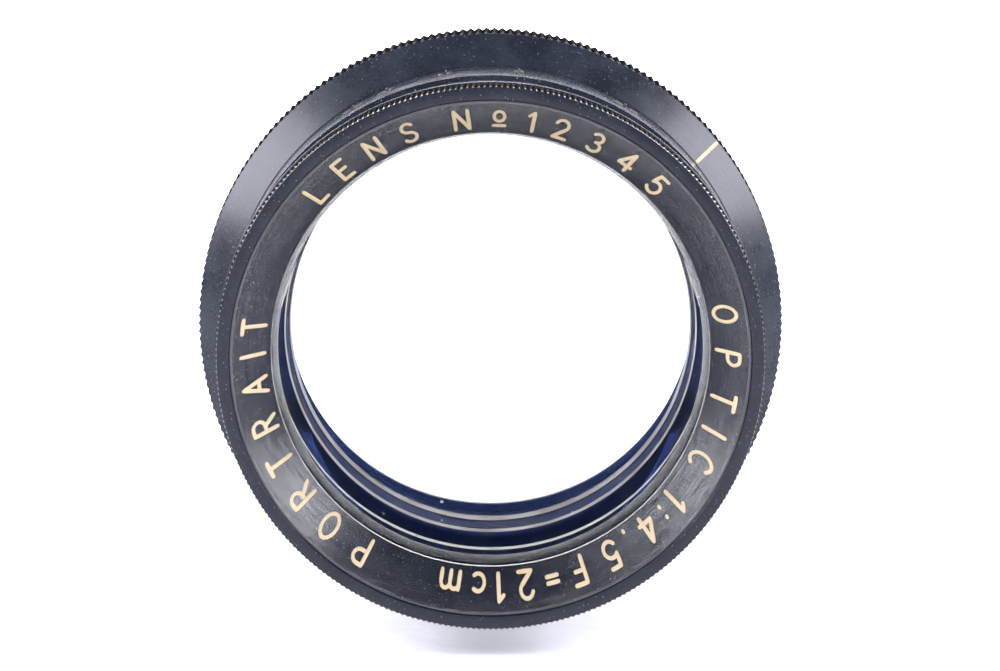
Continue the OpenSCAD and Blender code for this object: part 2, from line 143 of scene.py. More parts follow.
class LensSizes(bpy.types.PropertyGroup):
    """Sizes of the turned pieces, the glasses and the engraving."""

    bezel_teeth: IntProperty(name="Bezel teeth", description="Teeth of the knurled bezel", default=304)
    bezel_knurl: length("Bezel knurl", "Depth of the knurling on the bezel", 0.2 * MM)
    ring_teeth: IntProperty(name="Ring teeth", description="Teeth of the aperture ring", default=230)
    ring_knurl: length("Ring knurl", "Depth of the knurling on the aperture ring", 0.32 * MM)
    ring_bore: length("Ring bore", "Inner radius of the aperture ring", 30.3 * MM)
    cone_height: length("Cone height", "Height of the conical face of the aperture ring", 2.55 * MM)
    cone_width: length("Cone width", "Radial width of that conical face", 3.7 * MM)
    scale_band: length("Scale band", "Radius of the band that carries the stop scale", 30.83 * MM)
    iris_open: length("Iris", "Radius of the iris when it is wide open", 22.5 * MM)
    pivot_circle: length("Pivot circle", "Radius of the circle of the blades' pivots", 25.6 * MM)
    index_angle: angle("Index", "Place of the index line, above the horizontal, to the right", 39)
    mark_width: length("Mark width", "Width of the index line and of the scale marks", 0.45 * MM)
    name_thread: length("Name ring thread", "Radius of the thread of the name ring", 27.8 * MM)
    front_curve: length("Front curve", "Radius of curvature of the front glass", 58 * MM)
    second_front_curve: length("Second front curve", "Front curve of the second glass", 125 * MM)
    second_rear_curve: length("Second rear curve", "Rear curve of the second glass", 55 * MM)
    rear_front_curve: length("Doublet front curve", "Front curve of the rear doublet", 400 * MM)
    cement_curve: length("Cement curve", "Curve of the cemented face of the rear doublet", 52 * MM)
    rear_curve: length("Doublet rear curve", "Rear curve of the rear doublet", 82 * MM)
    letter_height: length("Letter height", "Height of the letters, seen from the front", 2.45 * MM)
    letter_stroke: length("Letter stroke", "Width of an engraved stroke", 0.45 * MM)
    figure_height: length("Figure height", "Height of the figures of the stop scale", 1.7 * MM)


class LensColours(bpy.types.PropertyGroup):
    """Colours of the finishes and of the stage."""

    lacquer: colour("Lacquer", "Black lacquer", (0.0045, 0.0055, 0.009))
    haze: colour("Haze", "Fine dust and haze on the lacquer", (0.16, 0.18, 0.25))
    brass: colour("Brass", "Bare brass where the lacquer has worn away", (0.62, 0.42, 0.17))
    paint: colour("Paint", "Cream paint in the engraving", (0.42, 0.335, 0.2))
    coating: colour("Coating", "Tint of the light that a coated glass reflects", (0.06, 0.12, 0.4))
    inside: colour("Inside", "Matt black paint inside the lens", (0.006, 0.006, 0.008))
    steel: colour("Steel", "Blued steel of the blades and screws", (0.075, 0.08, 0.1))
    floor: colour("Floor", "Plain pale floor", (0.86, 0.86, 0.875))


# ---- shader expressions ----


class Value:
    """A number that varies over a surface, for use in Python expressions."""

    def __init__(self, finish, socket):
        self.finish, self.socket = finish, socket

    def _math(self, operation, *values):
        node = self.finish.node("ShaderNodeMath", {"operation": operation}, dict(enumerate(values)))
        return Value(self.finish, node.outputs[0])

    def __add__(self, other):
        return self._math("ADD", self, other)

    def __radd__(self, other):
        return self._math("ADD", other, self)

    def __sub__(self, other):
        return self._math("SUBTRACT", self, other)

    def __rsub__(self, other):
        return self._math("SUBTRACT", other, self)

    def __mul__(self, other):
        return self._math("MULTIPLY", self, other)

    def __rmul__(self, other):
        return self._math("MULTIPLY", other, self)

    def __truediv__(self, other):
        return self._math("DIVIDE", self, other)

    def __rtruediv__(self, other):
        return self._math("DIVIDE", other, self)

    def __pow__(self, other):
        return self._math("POWER", self, other)

    def ramp(self, low, high):
        """0 at low and 1 at high, straight in between."""
        node = self.finish.node(
            "ShaderNodeMapRange", {"clamp": True}, {"Value": self, "From Min": low, "From Max": high}
        )
        return Value(self.finish, node.outputs[0])


class Finish:
    """A material and the nodes that make it."""

    def __init__(self, name):
        self.material = bpy.data.materials.new(name)
        self.material.use_nodes = True
        self.tree = self.material.node_tree
        self.tree.nodes.clear()
        place = self.node("ShaderNodeTexCoord").outputs["Object"]
        split = self.node("ShaderNodeSeparateXYZ", values={0: place})
        self.place = place
        self.x, self.y, self.z = (Value(self, split.outputs[i]) for i in range(3))
        self.radius = (self.x * self.x + self.z * self.z) ** 0.5

    def node(self, kind, settings=None, values=None):
        """A new node: its settings come first, then the values or links of its sockets."""
        made = self.tree.nodes.new(kind)
        for name, setting in (settings or {}).items():
            setattr(made, name, setting)
        for key, value in (values or {}).items():
            socket = made.inputs[key]
            if isinstance(value, Value):
                self.tree.links.new(value.socket, socket)
            elif isinstance(value, bpy.types.NodeSocket):
                self.tree.links.new(value, socket)
            elif socket.type == "RGBA" and len(value) == 3:
                socket.default_value = (*value, 1)
            else:
                socket.default_value = value
        return made

    def noise(self, scale, detail=3, vector=None, roughness=0.55):
        made = self.node(
            "ShaderNodeTexNoise",
            values={
                "Vector": vector or self.place, "Scale": scale, "Detail": detail, "Roughness": roughness
            },
        )
        return Value(self, made.outputs[0])

    def specks(self, scale, size):
        """1 in small round specks that lie about at random."""
        cells = self.node("ShaderNodeTexVoronoi", values={"Vector": self.place, "Scale": scale})
        pick = self.node("ShaderNodeSeparateColor", values={0: cells.outputs["Color"]})
        chance = Value(self, pick.outputs[0])
        spread = Value(self, cells.outputs["Distance"]) / (chance ** 6 * size + 0.0001)
        return spread.ramp(1.0, 0.5)

    def turning(self, pitch):
        """Noise drawn out round the axis, as a lathe leaves it."""
        vector = self.node(
            "ShaderNodeCombineXYZ",
            values={
                0: self.x / self.radius * 2.0,
                1: self.z / self.radius * 2.0,
                2: (self.radius - self.y * 0.8) / pitch,
            },
        )
        return self.noise(1.0, detail=2, vector=vector.outputs[0])

    def mix(self, factor, first, second):
        """Colour first where factor is 0 and second where it is 1."""
        made = self.node(
            "ShaderNodeMix", {"data_type": "RGBA", "clamp_factor": True}, {0: factor, 6: first, 7: second}
        )
        return made.outputs[2]

    def bump(self, height, distance, strength=0.4):
        made = self.node(
            "ShaderNodeBump", values={"Strength": strength, "Distance": distance, "Height": height}
        )
        return made.outputs[0]

    def surface(self, values):
        """A principled surface."""
        return self.node("ShaderNodeBsdfPrincipled", values=values).outputs[0]

    def finish(self, shader):
        self.node("ShaderNodeOutputMaterial", values={"Surface": shader})
        return self.material


def near_edge(finish, radius, height, width):
    """1 within width of the circle of that radius at that height along the axis."""
    off_r = finish.radius - radius
    off_y = finish.y + height
    return ((off_r * off_r + off_y * off_y) ** 0.5).ramp(width, 0.35 * width)


def lacquer_finish(
    name, edges=(), crest=None, dust=1.0, gloss=1.0, index=1.5, rough=0.17, groove=0.03 * MM
):
    """Glossy black lacquer on turned brass: haze and dust lie on it, and it is worn at the edges.

    An edge is (radius, height, width, share that is bare). crest is the radius from which
    the tips of a knurl are rubbed brown. groove is the depth of the lathe lines.
    """
    colours = bpy.context.scene.lens_colours
    f = Finish(name)
    haze = f.noise(230, 4).ramp(0.3, 0.85)
    fine = f.noise(3200, 2).ramp(0.4, 0.9)
    dots = f.specks(3600, 0.42)
    streaks = f.turning(0.07 * MM)
    veil = haze * 0.07 + haze * fine * 0.12 + 0.02
    base = f.mix((veil + dots * 0.5) * dust, tuple(colours.lacquer), tuple(colours.haze))
    rough = haze * 0.1 + fine * 0.05 + dots * 0.3 + rough
    metal = 0.0
    if crest is not None:
        rubbed = f.radius.ramp(crest, crest + 0.1 * MM) * f.noise(900, 3).ramp(0.35, 0.6)
        base = f.mix(rubbed * 0.75, base, (0.09, 0.055, 0.035))
        rough = rough + rubbed * 0.25
    for radius, height, width, share in edges:
        patch = f.noise(170, 4).ramp(1 - share, 1.04 - share)
        bare = near_edge(f, radius, height, width) * patch * f.noise(1900, 2).ramp(0.3, 0.42)
        base = f.mix(bare, base, tuple(colours.brass))
        metal = bare + metal
        rough = rough + bare * 0.2
    values = {
        "Base Color": base,
        "Roughness": rough,
        "IOR": index,
        "Coat Weight": 0.35 * gloss,
        "Coat Roughness": 0.12,
        "Coat IOR": 1.5,
        "Normal": f.bump(streaks, groove, 0.8),
    }
    if edges:
        values["Metallic"] = metal
    return f.finish(f.surface(values))


def knurl_finish(name, crest):
    """Dull lacquer between the teeth of a knurl. From radius crest on their tips are rubbed brown."""
    f = Finish(name)
    dirt = f.noise(2400, 3).ramp(0.4, 0.7)
    rubbed = f.radius.ramp(crest, crest + 0.1 * MM) * f.noise(900, 3).ramp(0.35, 0.6)
    base = f.mix(dirt, tuple(bpy.context.scene.lens_colours.lacquer), (0.017, 0.014, 0.012))
    base = f.mix(rubbed * 0.8, base, (0.06, 0.04, 0.028))
    return f.finish(
        f.surface({
            "Base Color": base,
            "Roughness": 0.52 + dirt * 0.1,
            "Specular IOR Level": 0.0,
            "Normal": f.bump(dirt, 0.015 * MM, 0.5),
        })
    )


def paint_finish(name, worn=0.0):
    """Cream paint wiped into the engraving, a little browner in places. worn is the share lost to dirt."""
    colours = bpy.context.scene.lens_colours
    f = Finish(name)
    dirt = f.noise(1600, 4).ramp(0.45, 0.75)
    base = f.mix(dirt * 0.55, tuple(colours.paint), (0.36, 0.24, 0.13))
    if worn:
        lost = f.noise(1100, 3).ramp(0.75 - worn, 0.95 - worn) * 0.93
        base = f.mix(lost, base, tuple(colours.lacquer))
    return f.finish(
        f.surface({
            "Base Color": base,
            "Roughness": 0.5 + dirt * 0.25,
            "Normal": f.bump(f.noise(5200, 3), 0.02 * MM, 0.6),
        })
    )


def glass_finish(name, index):
    """Polished glass with a blue coating and a little dust."""
    colours = bpy.context.scene.lens_colours
    f = Finish(name)
    clear = f.surface({
        "Base Color": (1.0, 1.0, 1.0),
        "Roughness": 0.0,
        "IOR": index,
        "Transmission Weight": 1.0,
        "Specular Tint": (*colours.coating, 1),
    })
    dust = f.surface({"Base Color": (0.75, 0.78, 0.85), "Roughness": 0.8})
    amount = f.specks(900, 0.22) * f.noise(90, 2).ramp(0.45, 0.7) * 0.5
    mixed = f.node("ShaderNodeMixShader", values={0: amount, 1: clear, 2: dust})
    return f.finish(mixed.outputs[0])


def matt_finish(name):
    """Matt black paint inside the lens, rough and slightly dusty."""
    colours = bpy.context.scene.lens_colours
    f = Finish(name)
    dusty = f.noise(1500, 4).ramp(0.5, 0.8)
    dots = f.specks(1100, 0.3)
    lines = f.turning(0.3 * MM)
    return f.finish(
        f.surface({
            "Base Color": f.mix(dusty * 0.07 + dots * 0.25, tuple(colours.inside), (0.3, 0.3, 0.33)),
            "Roughness": 0.42 + dusty * 0.2,
            "Normal": f.bump(lines + dusty * 0.5, 0.03 * MM, 0.6),
        })
    )


def metal_finish(name, base, second, roughness, pitch=0.12 * MM):
    """Turned metal with fine lathe lines and patches of a second tone."""
    f = Finish(name)
    patches = f.noise(260, 4).ramp(0.4, 0.7)
    lines = f.turning(pitch)
    return f.finish(
        f.surface({
            "Base Color": f.mix(patches * 0.7, base, second),
            "Metallic": 1.0,
            "Roughness": roughness + patches * 0.12 + lines * 0.08,
            "Normal": f.bump(lines, 0.01 * MM, 0.5),
        })
    )


# ---- shapes ----


def turned(name, section, steps=FINE_TURN, teeth=0, knurl=0.0, band=(0.0, 0.0), round_off=0.0):
    """A closed turned piece. section runs once round half of it, as (radius, height) points.

    A band of teeth is cut where the outer wall lies between the two heights of band.
    """
    bm = bmesh.new()
    corners = [bm.verts.new((r, -h, 0)) for r, h in section]
    for first, second in zip(corners, corners[1:] + corners[:1]):
        bm.edges.new((first, second))
    if round_off:
        soften(bm, round_off)
    steps = 2 * teeth if teeth else steps
    bmesh.ops.spin(
        bm, geom=bm.verts[:] + bm.edges[:], cent=(0, 0, 0), axis=(0, 1, 0),
        angle=2 * math.pi, steps=steps, use_merge=True,
    )
    bmesh.ops.remove_doubles(bm, verts=bm.verts, dist=0.0002 * MM)
    if teeth:
        cut_teeth(bm, teeth, knurl, band)
    bmesh.ops.recalc_face_normals(bm, faces=bm.faces)
    return solid(name, bm)


def soften(bm, radius):
    """Rounds the corners of a section before it is spun."""
    sharp = []
    for v in bm.verts:
        a, b = (e.other_vert(v).co - v.co for e in v.link_edges)
        if a.angle(b) < math.radians(165) and min(a.length, b.length) > 2.2 * radius:
            sharp.append(v)
    bmesh.ops.bevel(
        bm, geom=sharp, offset=radius, offset_type="OFFSET", segments=3,
        profile=0.5, affect="VERTICES", material=-1,
    )


def cut_teeth(bm, teeth, knurl, band):
    """Draws every second line of the outer wall in, so that teeth stand between."""
    outer = max(math.hypot(v.co.x, v.co.z) for v in bm.verts if band[0] <= -v.co.y <= band[1])
    for v in bm.verts:
        r = math.hypot(v.co.x, v.co.z)
        if band[0] <= -v.co.y <= band[1] and r > outer - 0.5 * knurl:
            column = round(math.atan2(v.co.z, v.co.x) * teeth / math.pi)
            if column % 2:
                v.co.x *= 1 - knurl / r
                v.co.z *= 1 - knurl / r


def solid(name, bm, smooth_under=32):
    """An object from a bmesh, smooth where its faces meet at less than that angle."""
    mesh = bpy.data.meshes.new(name)
    bm.to_mesh(mesh)
    bm.free()
    mesh.shade_smooth()
    mesh.set_sharp_from_angle(angle=math.radians(smooth_under))
    obj = bpy.data.objects.new(name, mesh)
    bpy.context.scene.collection.objects.link(obj)
    return obj


def fitted(obj, material, body, slot, *replaced):
    """Gives a new piece its finish, its body and the nodes that it stands for."""
    obj.data.materials.clear()
    obj.data.materials.append(material)
    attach(obj, body)
    if replaced:
        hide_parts(*replaced)
    return obj


def drill(obj, radius, middle, depth):
    """Bores a round hole along Z through the wall of a piece."""
    bm = bmesh.new()
    bmesh.ops.create_cone(
        bm, cap_ends=True, segments=32, radius1=radius, radius2=radius, depth=depth,
        matrix=Matrix.Translation(middle),
    )
    drill_bit = solid("drill_bit", bm)
    cut = obj.modifiers.new("bore", "BOOLEAN")
    cut.operation, cut.solver, cut.object = "DIFFERENCE", "EXACT", drill_bit
    bored = obj.evaluated_get(bpy.context.evaluated_depsgraph_get())
    mesh = bpy.data.meshes.new_from_object(bored)
    obj.modifiers.clear()
    obj.data = mesh
    bpy.data.objects.remove(drill_bit)


def dull_knurl(obj, outer, knurl, band):
    """Gives the teeth between the two heights of band a duller finish than the rest of the piece."""
    obj.data.materials.append(knurl_finish(obj.name + "_knurl", outer - 0.12 * MM))
    for face in obj.data.polygons:
        radius = math.hypot(face.center.x, face.center.z)
        if radius > outer - 1.1 * knurl and band[0] <= -face.center.y <= band[1]:
            face.material_index = 1


def repaint(material, *nodes):
    """Gives CAD nodes a finish."""
    for name in nodes:
        for slot in frame["nodes"][name].material_slots:
            slot.material = material


# ---- single-stroke lettering ----


def arc(x, y, rx, ry, start, end, steps=10):
    """Points of an arc round (x, y), anticlockwise from start to end in degrees."""
    turns = [math.radians(start + (end - start) * k / steps) for k in range(steps + 1)]
    return [(x + rx * math.cos(t), y + ry * math.sin(t)) for t in turns]


STROKES = {
    "1": [[(0.1, 0.8), (0.32, 1), (0.32, 0)]],
    "2": [arc(0.31, 0.7, 0.29, 0.3, 165, -35) + [(0.02, 0), (0.62, 0)]],
    "3": [arc(0.29, 0.75, 0.26, 0.25, 145, -90), arc(0.29, 0.26, 0.3, 0.26, 90, -145)],
    "4": [[(0.46, 0), (0.46, 1), (0, 0.27), (0.64, 0.27)]],
    "5": [[(0.56, 1), (0.12, 1), (0.07, 0.54)] + arc(0.3, 0.32, 0.31, 0.32, 125, -150)],
    "6": [arc(0.31, 0.3, 0.3, 0.3, 0, 360, 16), arc(0.7, 0.3, 0.69, 0.7, 112, 180)],
    "8": [arc(0.31, 0.76, 0.24, 0.24, 0, 360, 14), arc(0.31, 0.27, 0.3, 0.27, 0, 360, 16)],
    "N": [[(0.02, 0), (0.02, 1), (0.66, 0), (0.66, 1)]],
    "o": [arc(0.32, 0.62, 0.25, 0.27, 0, 360, 14), [(0.06, 0.12), (0.58, 0.12)]],
    "F": [[(0.05, 0), (0.05, 1), (0.6, 1)], [(0.05, 0.52), (0.48, 0.52)]],
    "=": [[(0.05, 0.62), (0.55, 0.62)], [(0.05, 0.38), (0.55, 0.38)]],
    "c": [arc(0.32, 0.33, 0.3, 0.33, 50, 310)],
    "m": [
        [(0, 0), (0, 0.66)],
        arc(0.21, 0.44, 0.21, 0.22, 180, 0, 7) + [(0.42, 0)],
        arc(0.63, 0.44, 0.21, 0.22, 180, 0, 7) + [(0.84, 0)],
    ],
    ".": [[(0.1, 0), (0.1, 0.04)]],
    ":": [[(0.1, 0.2), (0.1, 0.24)], [(0.1, 0.66), (0.1, 0.7)]],
    "P": [[(0.03, 0), (0.03, 1), (0.32, 1)] + arc(0.33, 0.74, 0.27, 0.26, 80, -90, 7) + [(0.03, 0.48)]],
    "R": [
        [(0.03, 0), (0.03, 1), (0.32, 1)] + arc(0.33, 0.74, 0.27, 0.26, 80, -90, 7) + [(0.03, 0.48)],
        [(0.28, 0.48), (0.62, 0)],
    ],
    "O": [arc(0.38, 0.5, 0.37, 0.5, 0, 360, 18)],
    "C": [arc(0.4, 0.5, 0.38, 0.5, 48, 312, 14)],
    "T": [[(0, 1), (0.68, 1)], [(0.34, 1), (0.34, 0)]],
    "A": [[(0, 0), (0.35, 1), (0.7, 0)], [(0.13, 0.34), (0.57, 0.34)]],
    "I": [[(0.1, 0), (0.1, 1)]],
    "L": [[(0.05, 1), (0.05, 0), (0.56, 0)]],
    "E": [[(0.58, 1), (0.05, 1), (0.05, 0), (0.58, 0)], [(0.05, 0.52), (0.48, 0.52)]],
    "S": [arc(0.31, 0.75, 0.27, 0.25, 30, 270) + arc(0.31, 0.25, 0.29, 0.25, 90, -150)],
}


def glyph_width(glyph):
    return max(x for stroke in STROKES[glyph] for x, _ in stroke)


def draw_glyph(bm, glyph, height, stroke, place):
    """Adds a glyph as flat beads along its strokes. place turns (across, up, out) into a point."""
    centre = glyph_width(glyph) / 2
    made = []
    for points in STROKES[glyph]:
        line = [Vector(((x - centre) * height, (y - 0.5) * height, 0)) for x, y in points]
        for a, b in zip(line, line[1:]):
            turn = (b - a).to_track_quat("Z", "Y").to_matrix().to_4x4()
            made += bmesh.ops.create_cone(
                bm, cap_ends=False, segments=8, radius1=stroke / 2, radius2=stroke / 2,
                depth=(b - a).length, matrix=Matrix.Translation((a + b) / 2) @ turn,
            )["verts"]
        for k, point in enumerate(line):
            ends = k in (0, len(line) - 1)
            if ends or (line[k + 1] - point).angle(point - line[k - 1], 0) > math.radians(25):
                made += bmesh.ops.create_uvsphere(
                    bm, u_segments=8, v_segments=6, radius=stroke / 2, matrix=Matrix.Translation(point)
                )["verts"]
    for v in made:
        v.co = place(v.co.x, v.co.y, v.co.z * 0.16)


def clockwise(radius, height, turn):
    """The point at that radius and height, turned clockwise from the top, seen from the front."""
    return Vector((radius * math.sin(turn), -height, radius * math.cos(turn)))


# ---- the pieces ----


def dish():
    """The hollow cone of the name ring: its outer radius and height, and its inner ones."""
    sizes = bpy.context.scene.lens_sizes
    glass = reach("front_element")
    rim_top = front_of("front_cell")
    lip_r = glass - 1 * MM
    lip_h = front_of("front_element") - sag(sizes.front_curve, lip_r) + 2 * SEAT_GAP
    return reach("name_ring") - 0.35 * MM, rim_top - 0.5 * MM, lip_r, lip_h + HOLDING_EDGE


def dish_height(radius):
    """The height of the surface of the name ring at that radius."""
    sink = 0.35 * MM
    outer_r, outer_h, inner_r, inner_h = dish()
    u = (outer_r - radius) / (outer_r - inner_r)
    return outer_h + (inner_h - outer_h) * u - 4 * sink * u * (1 - u)


class LensOperator(bpy.types.Operator):
    """Makes one piece, or one group of like pieces, of the lens."""

    bl_idname = "lens.piece"
    bl_label = "Piece"
    bl_options = {"REGISTER", "UNDO"}

    def execute(self, context):
        self.make(context.scene.lens_sizes, context.scene.lens_colours)
        return {"FINISHED"}

    def make(self, sizes, colours):
        raise NotImplementedError


class LENS_OT_bezel(LensOperator):
    """The front cell with its finely knurled bezel"""

    bl_idname = "lens.bezel"
    bl_label = "Bezel"

    def make(self, sizes, colours):
        bead = reach("front_cell")
        rim, rim_top = bead - 0.04 * MM, front_of("front_cell")
        rim_back = front_of("barrel") + SEAT_GAP
        core = rim - 0.02 * MM
        flange = reach("name_ring") + THREAD_FIT
        flange_h = back_of("name_ring")
        lip_h = dish()[3] - HOLDING_EDGE
        thread_foot = lip_h - THREAD_FOOT_DROP
        glass, second = reach("front_element"), reach("second_element")
        male, seat = reach("iris_stud_plate"), front_of("second_element") + SEAT_GAP
        tube, ledge = second + 2.45 * MM, second - 0.6 * MM
        thread = sizes.name_thread + THREAD_FIT
        back, rear_glass = back_of("front_cell"), back_of("front_element")
        band = rim_back + 0.47 * MM, rim_top - 0.2 * MM
        bezel = turned(
            "bezel",
            [
                (second + GLASS_FIT, back), (tube, back), (tube, thread_foot),
                (male, thread_foot), (male, rim_back), (bead, rim_back), (bead, rim_back + 0.34 * MM),
                (core - sizes.bezel_knurl, rim_back + 0.42 * MM), (core, rim_back + 0.5 * MM),
                (core, rim_top - 0.28 * MM), (core - 0.26 * MM, rim_top), (flange, rim_top),
                (flange, flange_h - SEAT_GAP), (thread, flange_h - SEAT_GAP), (thread, lip_h),
                (glass + GLASS_FIT, lip_h), (glass + GLASS_FIT, rear_glass - SEAT_GAP),
                (glass - 1.3 * MM, rear_glass - SEAT_GAP),
                (ledge, seat + 1 * MM), (ledge, seat), (second + GLASS_FIT, seat),
            ],
            teeth=sizes.bezel_teeth, knurl=sizes.bezel_knurl, band=band, round_off=0.05 * MM,
        )
        edges = [(rim, rim_top, 0.5 * MM, 0.30), (flange, rim_top, 0.12 * MM, 0.22)]
        finish = lacquer_finish("bezel_lacquer", edges, dust=0.5, gloss=0.2, index=1.34)
        fitted(bezel, finish, BARREL, "bezel_lacquer", "front_cell")
        dull_knurl(bezel, core, sizes.bezel_knurl, band)


class LENS_OT_name_ring(LensOperator):
    """The threaded ring that holds the front glass, with its hollow cone"""

    bl_idname = "lens.name_ring"
    bl_label = "Name ring"

    def make(self, sizes, colours):
        outer, top = reach("name_ring"), front_of("name_ring")
        dish_r, _, lip_r, lip_top = dish()
        lip_h, back = lip_top - HOLDING_EDGE, back_of("name_ring")
        hollow = [dish_r + (lip_r - dish_r) * k / 12 for k in range(13)]
        ring = turned(
            "name_ring_dish",
            [(outer, back), (outer, top), (dish_r, top)]
            + [(r, dish_height(r)) for r in hollow]
            + [(lip_r, lip_h), (sizes.name_thread, lip_h + 0.02 * MM), (sizes.name_thread, back)],
            steps=256, round_off=0.06 * MM,
        )
        worn = [(lip_r, lip_top, 0.22 * MM, 0.34)]
        finish = lacquer_finish("name_ring_lacquer", worn, dust=0.25, gloss=2.0, index=1.6, groove=0.065 * MM)
        fitted(ring, finish, BARREL, "name_ring_lacquer", "name_ring")


class LENS_OT_engraving(LensOperator):
    """Plain words and figures engraved in the name ring and filled with cream paint"""

    bl_idname = "lens.engraving"
    bl_label = "Engraving"

    def make(self, sizes, colours):
        paint = paint_finish("engraving_paint")
        middle = (dish()[0] + dish()[2]) / 2 - 0.12 * MM
        words = [
            ("maker_word", "LENS", -47, -20),
            ("serial_figures", "No12345", -7, 44),
            ("type_word", "OPTIC", 80, 117),
            ("stop_figures", "1:4.5", 128, 149),
            ("focal_figures", "F=21cm", 158, 190),
            ("use_word", "PORTRAIT", 213, 277),
        ]
        for name, word, start, end in words:
            bm = bmesh.new()
            for glyph, turn in zip(word, self.spread(word, start, end)):
                draw_glyph(
                    bm, glyph, sizes.letter_height, sizes.letter_stroke,
                    lambda across, up, out, turn=turn: self.on_dish(middle, across, up, out, turn),
                )
            bmesh.ops.recalc_face_normals(bm, faces=bm.faces)
            fitted(solid(name, bm, 60), paint, BARREL, "name_ring_lacquer")

    @staticmethod
    def spread(word, start, end):
        """The turns of a word's glyphs from start to end, in proportion to their widths."""
        gap = 0.45
        widths = [glyph_width(g) + gap for g in word]
        places = [sum(widths[:k]) + widths[k] / 2 for k in range(len(word))]
        share = (end - start) / (places[-1] - places[0])
        return [math.radians(start + (p - places[0]) * share) for p in places]

    @staticmethod
    def on_dish(middle, across, up, out, turn):
        """A point of a glyph laid on the hollow cone."""
        radius = middle + up
        slope = (dish_height(radius + 0.1 * MM) - dish_height(radius - 0.1 * MM)) / (0.2 * MM)
        normal = Vector((-slope, 1)).normalized()
        sunk = out - 0.012 * MM
        return clockwise(
            radius + normal.x * sunk, dish_height(radius) + normal.y * sunk, turn + across / radius
        )


class LENS_OT_aperture_ring(LensOperator):
    """The wide knurled ring that works the iris, with its conical face"""

    bl_idname = "lens.aperture_ring"
    bl_label = "Aperture ring"

    def make(self, sizes, colours):
        outer, top, back = reach("aperture_ring"), front_of("aperture_ring"), back_of("aperture_ring")
        cone = top - sizes.cone_height
        face = outer - sizes.cone_width
        chamfer = 0.22 * MM
        band = back + 0.5 * MM, cone - 0.6 * chamfer
        ring = turned(
            "ring_of_stops",
            [
                (sizes.ring_bore, back), (outer - 1.1 * MM, back), (outer - 0.5 * MM, back + 0.45 * MM),
                (outer, back + 0.7 * MM), (outer, cone - chamfer), (outer - chamfer, cone),
                (face, top), (sizes.ring_bore, top),
            ],
            teeth=sizes.ring_teeth, knurl=sizes.ring_knurl, band=band, round_off=0.05 * MM,
        )
        low, high = box("drive_screw")
        drill(ring, high.x + THREAD_FIT, (low + high) / 2, 2 * (outer - sizes.ring_bore))
        edges = [(outer - chamfer, cone, 0.12 * MM, 0.25), (face, top, 0.1 * MM, 0.2)]
        finish = lacquer_finish("ring_lacquer", edges, dust=0.9, gloss=0.1, index=1.3, rough=0.24)
        fitted(ring, finish, RING, "ring_lacquer", "aperture_ring")
        dull_knurl(ring, outer, sizes.ring_knurl, (band[0], cone - 1.1 * chamfer))


class LENS_OT_marks(LensOperator):
    """The index line on the ring, and the stop scale on the barrel"""

    bl_idname = "lens.marks"
    bl_label = "Index line and stop scale"

    def make(self, sizes, colours):
        self.index_line(sizes, paint_finish("mark_paint"))
        self.scale(sizes, paint_finish("scale_paint", worn=0.5))

    @staticmethod
    def index_line(sizes, paint):
        outer, top = reach("aperture_ring"), front_of("aperture_ring")
        start = Vector((outer - sizes.cone_width + 0.12 * MM, 0, top - 0.06 * MM))
        end = Vector((outer - 0.3 * MM, 0, top - sizes.cone_height + 0.05 * MM))
        along = (end - start).normalized()
        out = Vector((-along.z, 0, along.x))
        bm = bmesh.new()
        bmesh.ops.create_cube(bm, size=1)
        bmesh.ops.bevel(
            bm, geom=bm.edges[:], offset=0.12, segments=2, profile=0.5, affect="EDGES", material=-1
        )
        turn = math.pi / 2 - sizes.index_angle
        for v in bm.verts:
            p = start.lerp(end, v.co.x + 0.5) + out * (v.co.z * 0.1 * MM - 0.025 * MM)
            side = v.co.y * sizes.mark_width
            v.co = clockwise(p.x, p.z, turn) + clockwise(side, 0, turn + math.pi / 2)
        bmesh.ops.recalc_face_normals(bm, faces=bm.faces)
        fitted(solid("index_line", bm), paint, RING, "ring_lacquer")

    @staticmethod
    def scale(sizes, paint):
        """Figures of the stops on the band in front of the ring, with their marks."""
        ring_turn = frame["joints"][0]["range_deg"][1]
        band, swing = sizes.scale_band, 2 * sizes.pivot_circle
        figure_at, tick_at, tick_long, tick_proud = 4.1 * MM, 1.2 * MM, 1.9 * MM, 0.06 * MM
        foot = front_of("aperture_ring") + 0.25 * MM
        bm = bmesh.new()
        for stop in (4.5, 5.6, 8, 11, 16, 22):
            closed = sizes.iris_open * 4.5 / stop
            step = 4 * math.degrees(math.asin((sizes.iris_open + 0.1 * MM - closed) / swing))
            turn = math.pi / 2 - sizes.index_angle - math.radians(min(step, ring_turn))
            word = f"{stop:g}"
            widths = [(glyph_width(g) + 0.28) * sizes.figure_height for g in word]
            for k, glyph in enumerate(word):
                shift = sum(widths[:k]) + widths[k] / 2 - sum(widths) / 2
                draw_glyph(
                    bm, glyph, sizes.figure_height, 0.3 * MM,
                    lambda across, up, out, turn=turn, shift=shift: clockwise(
                        band + out - 0.01 * MM, foot + figure_at - up, turn - (across + shift) / band
                    ),
                )
            for v in bmesh.ops.create_cube(bm, size=1)["verts"]:
                v.co = clockwise(
                    band + (v.co.z - 0.35) * tick_proud,
                    foot + tick_at + v.co.y * tick_long,
                    turn + v.co.x * sizes.mark_width / 2 / band,
                )
        bmesh.ops.recalc_face_normals(bm, faces=bm.faces)
        fitted(solid("stop_scale", bm, 60), paint, BARREL, "barrel_lacquer")


